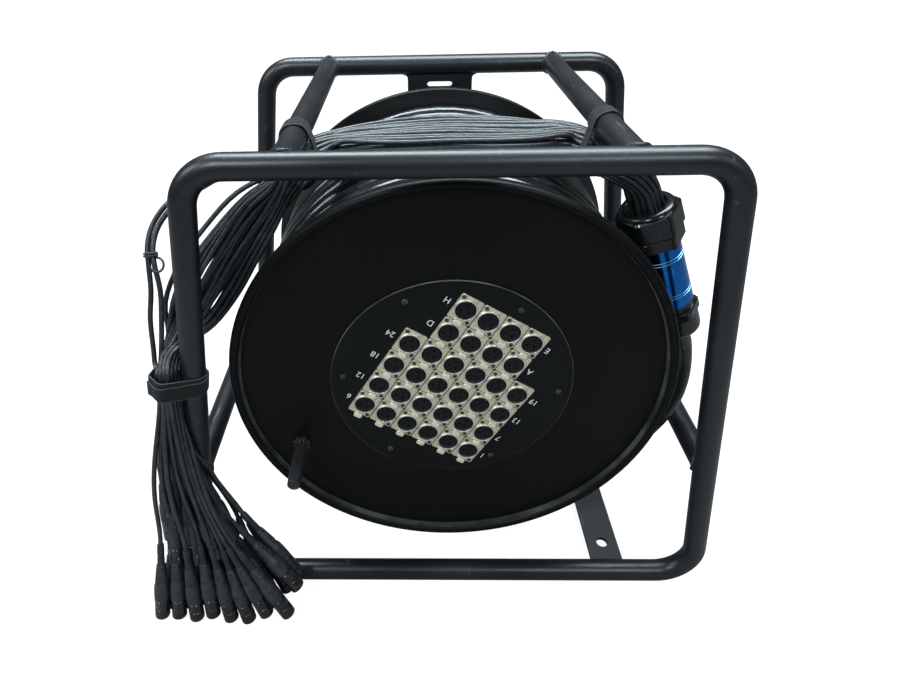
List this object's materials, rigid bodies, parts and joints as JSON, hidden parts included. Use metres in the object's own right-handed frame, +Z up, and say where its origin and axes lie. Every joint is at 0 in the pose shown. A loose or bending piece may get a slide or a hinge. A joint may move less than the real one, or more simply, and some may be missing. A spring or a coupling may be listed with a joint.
{
  "type": "stage box snake",
  "caption": "Cable drum on an axle in a tube stand: socket panel and crank in front, wound multicore cable, and a splitter that fans out into strapped tails with plugs.",
  "frame": {"origin": "under the middle of the stand, drum and crank, on the floor", "axes": "+X to the right as seen from the socket panel, +Y to the back along the drum's axle, +Z up"},
  "size_m": [0.6781, 0.4738, 0.5774],
  "materials": {
    "frame_paint": "satin powder coat",
    "drum_paint": "satin",
    "plain_steel": "machined",
    "bronze": "machined",
    "cable_jacket": "semi-gloss",
    "socket_nickel": "nickel plated, satin",
    "latch_nickel": "nickel plated",
    "crank_black": "semi-gloss",
    "grip_black": "matt",
    "blue_anodised": "anodised, polished",
    "gland_nylon": "semi-gloss",
    "strap_weave": "hook-and-loop weave",
    "tail_jacket": "matt"
  },
  "bodies": {
    "stand": {"front_loop": "frame_paint", "rear_loop": "frame_paint", "top_crossbar_left": "frame_paint", "top_crossbar_right": "frame_paint", "bottom_crossbar_left": "frame_paint", "bottom_crossbar_right": "frame_paint", "bearing_plate": "frame_paint", "base_bar": "frame_paint", "axle": "plain_steel", "splitter_tube": "blue_anodised", "splitter_gland_top": "gland_nylon", "splitter_gland_bottom": "gland_nylon", "cable_lead": "cable_jacket", "strap_left_bar": "strap_weave", "strap_right_bar": "strap_weave", "strap_left_post": "strap_weave", "tail_loom": "tail_jacket", "tail_plugs": "tail_jacket"},
    "drum": {"drum_hub": "plain_steel", "hub_bush": "bronze", "front_flange": "drum_paint", "rear_flange": "drum_paint", "drum_barrel": "drum_paint", "connector_panel": "socket_nickel", "cable_layers": "cable_jacket", "cable_winding": "cable_jacket", "crank_spindle": "crank_black"},
    "grip": {"crank_grip": "grip_black"},
    "latch_01": {"latch_01": "latch_nickel"},
    "latch_02": {"latch_02": "latch_nickel"},
    "latch_03": {"latch_03": "latch_nickel"},
    "latch_04": {"latch_04": "latch_nickel"},
    "latch_05": {"latch_05": "latch_nickel"},
    "latch_06": {"latch_06": "latch_nickel"},
    "latch_07": {"latch_07": "latch_nickel"},
    "latch_08": {"latch_08": "latch_nickel"},
    "latch_09": {"latch_09": "latch_nickel"},
    "latch_10": {"latch_10": "latch_nickel"},
    "latch_11": {"latch_11": "latch_nickel"},
    "latch_12": {"latch_12": "latch_nickel"},
    "latch_13": {"latch_13": "latch_nickel"},
    "latch_14": {"latch_14": "latch_nickel"},
    "latch_15": {"latch_15": "latch_nickel"},
    "latch_16": {"latch_16": "latch_nickel"},
    "latch_17": {"latch_17": "latch_nickel"},
    "latch_18": {"latch_18": "latch_nickel"},
    "latch_19": {"latch_19": "latch_nickel"},
    "latch_20": {"latch_20": "latch_nickel"},
    "latch_21": {"latch_21": "latch_nickel"},
    "latch_22": {"latch_22": "latch_nickel"},
    "latch_23": {"latch_23": "latch_nickel"},
    "latch_24": {"latch_24": "latch_nickel"},
    "latch_a": {"latch_a": "latch_nickel"},
    "latch_b": {"latch_b": "latch_nickel"},
    "latch_c": {"latch_c": "latch_nickel"},
    "latch_d": {"latch_d": "latch_nickel"},
    "latch_e": {"latch_e": "latch_nickel"},
    "latch_f": {"latch_f": "latch_nickel"},
    "latch_g": {"latch_g": "latch_nickel"},
    "latch_h": {"latch_h": "latch_nickel"}
  },
  "joints": [
    {"name": "drum_spin", "type": "hinge", "parent": "stand", "child": "drum", "pos_m": [0, 0, 0.3062], "axis": [0, 1, 0], "continuous": true},
    {"name": "grip_spin", "type": "hinge", "parent": "drum", "child": "grip", "pos_m": [-0.1695, -0.19497, 0.2202], "axis": [0, 1, 0], "continuous": true},
    {"name": "latch_01_press", "type": "slide", "parent": "drum", "child": "latch_01", "axis": [0, 1, 0], "range_m": [0, 0.0015], "stiffness_N_per_m": 200},
    {"name": "latch_02_press", "type": "slide", "parent": "drum", "child": "latch_02", "axis": [0, 1, 0], "range_m": [0, 0.0015], "stiffness_N_per_m": 200},
    {"name": "latch_03_press", "type": "slide", "parent": "drum", "child": "latch_03", "axis": [0, 1, 0], "range_m": [0, 0.0015], "stiffness_N_per_m": 200},
    {"name": "latch_04_press", "type": "slide", "parent": "drum", "child": "latch_04", "axis": [0, 1, 0], "range_m": [0, 0.0015], "stiffness_N_per_m": 200},
    {"name": "latch_05_press", "type": "slide", "parent": "drum", "child": "latch_05", "axis": [0, 1, 0], "range_m": [0, 0.0015], "stiffness_N_per_m": 200},
    {"name": "latch_06_press", "type": "slide", "parent": "drum", "child": "latch_06", "axis": [0, 1, 0], "range_m": [0, 0.0015], "stiffness_N_per_m": 200},
    {"name": "latch_07_press", "type": "slide", "parent": "drum", "child": "latch_07", "axis": [0, 1, 0], "range_m": [0, 0.0015], "stiffness_N_per_m": 200},
    {"name": "latch_08_press", "type": "slide", "parent": "drum", "child": "latch_08", "axis": [0, 1, 0], "range_m": [0, 0.0015], "stiffness_N_per_m": 200},
    {"name": "latch_09_press", "type": "slide", "parent": "drum", "child": "latch_09", "axis": [0, 1, 0], "range_m": [0, 0.0015], "stiffness_N_per_m": 200},
    {"name": "latch_10_press", "type": "slide", "parent": "drum", "child": "latch_10", "axis": [0, 1, 0], "range_m": [0, 0.0015], "stiffness_N_per_m": 200},
    {"name": "latch_11_press", "type": "slide", "parent": "drum", "child": "latch_11", "axis": [0, 1, 0], "range_m": [0, 0.0015], "stiffness_N_per_m": 200},
    {"name": "latch_12_press", "type": "slide", "parent": "drum", "child": "latch_12", "axis": [0, 1, 0], "range_m": [0, 0.0015], "stiffness_N_per_m": 200},
    {"name": "latch_13_press", "type": "slide", "parent": "drum", "child": "latch_13", "axis": [0, 1, 0], "range_m": [0, 0.0015], "stiffness_N_per_m": 200},
    {"name": "latch_14_press", "type": "slide", "parent": "drum", "child": "latch_14", "axis": [0, 1, 0], "range_m": [0, 0.0015], "stiffness_N_per_m": 200},
    {"name": "latch_15_press", "type": "slide", "parent": "drum", "child": "latch_15", "axis": [0, 1, 0], "range_m": [0, 0.0015], "stiffness_N_per_m": 200},
    {"name": "latch_16_press", "type": "slide", "parent": "drum", "child": "latch_16", "axis": [0, 1, 0], "range_m": [0, 0.0015], "stiffness_N_per_m": 200},
    {"name": "latch_17_press", "type": "slide", "parent": "drum", "child": "latch_17", "axis": [0, 1, 0], "range_m": [0, 0.0015], "stiffness_N_per_m": 200},
    {"name": "latch_18_press", "type": "slide", "parent": "drum", "child": "latch_18", "axis": [0, 1, 0], "range_m": [0, 0.0015], "stiffness_N_per_m": 200},
    {"name": "latch_19_press", "type": "slide", "parent": "drum", "child": "latch_19", "axis": [0, 1, 0], "range_m": [0, 0.0015], "stiffness_N_per_m": 200},
    {"name": "latch_20_press", "type": "slide", "parent": "drum", "child": "latch_20", "axis": [0, 1, 0], "range_m": [0, 0.0015], "stiffness_N_per_m": 200},
    {"name": "latch_21_press", "type": "slide", "parent": "drum", "child": "latch_21", "axis": [0, 1, 0], "range_m": [0, 0.0015], "stiffness_N_per_m": 200},
    {"name": "latch_22_press", "type": "slide", "parent": "drum", "child": "latch_22", "axis": [0, 1, 0], "range_m": [0, 0.0015], "stiffness_N_per_m": 200},
    {"name": "latch_23_press", "type": "slide", "parent": "drum", "child": "latch_23", "axis": [0, 1, 0], "range_m": [0, 0.0015], "stiffness_N_per_m": 200},
    {"name": "latch_24_press", "type": "slide", "parent": "drum", "child": "latch_24", "axis": [0, 1, 0], "range_m": [0, 0.0015], "stiffness_N_per_m": 200},
    {"name": "latch_a_press", "type": "slide", "parent": "drum", "child": "latch_a", "axis": [0, 1, 0], "range_m": [0, 0.0015], "stiffness_N_per_m": 200},
    {"name": "latch_b_press", "type": "slide", "parent": "drum", "child": "latch_b", "axis": [0, 1, 0], "range_m": [0, 0.0015], "stiffness_N_per_m": 200},
    {"name": "latch_c_press", "type": "slide", "parent": "drum", "child": "latch_c", "axis": [0, 1, 0], "range_m": [0, 0.0015], "stiffness_N_per_m": 200},
    {"name": "latch_d_press", "type": "slide", "parent": "drum", "child": "latch_d", "axis": [0, 1, 0], "range_m": [0, 0.0015], "stiffness_N_per_m": 200},
    {"name": "latch_e_press", "type": "slide", "parent": "drum", "child": "latch_e", "axis": [0, 1, 0], "range_m": [0, 0.0015], "stiffness_N_per_m": 200},
    {"name": "latch_f_press", "type": "slide", "parent": "drum", "child": "latch_f", "axis": [0, 1, 0], "range_m": [0, 0.0015], "stiffness_N_per_m": 200},
    {"name": "latch_g_press", "type": "slide", "parent": "drum", "child": "latch_g", "axis": [0, 1, 0], "range_m": [0, 0.0015], "stiffness_N_per_m": 200},
    {"name": "latch_h_press", "type": "slide", "parent": "drum", "child": "latch_h", "axis": [0, 1, 0], "range_m": [0, 0.0015], "stiffness_N_per_m": 200}
  ]
}
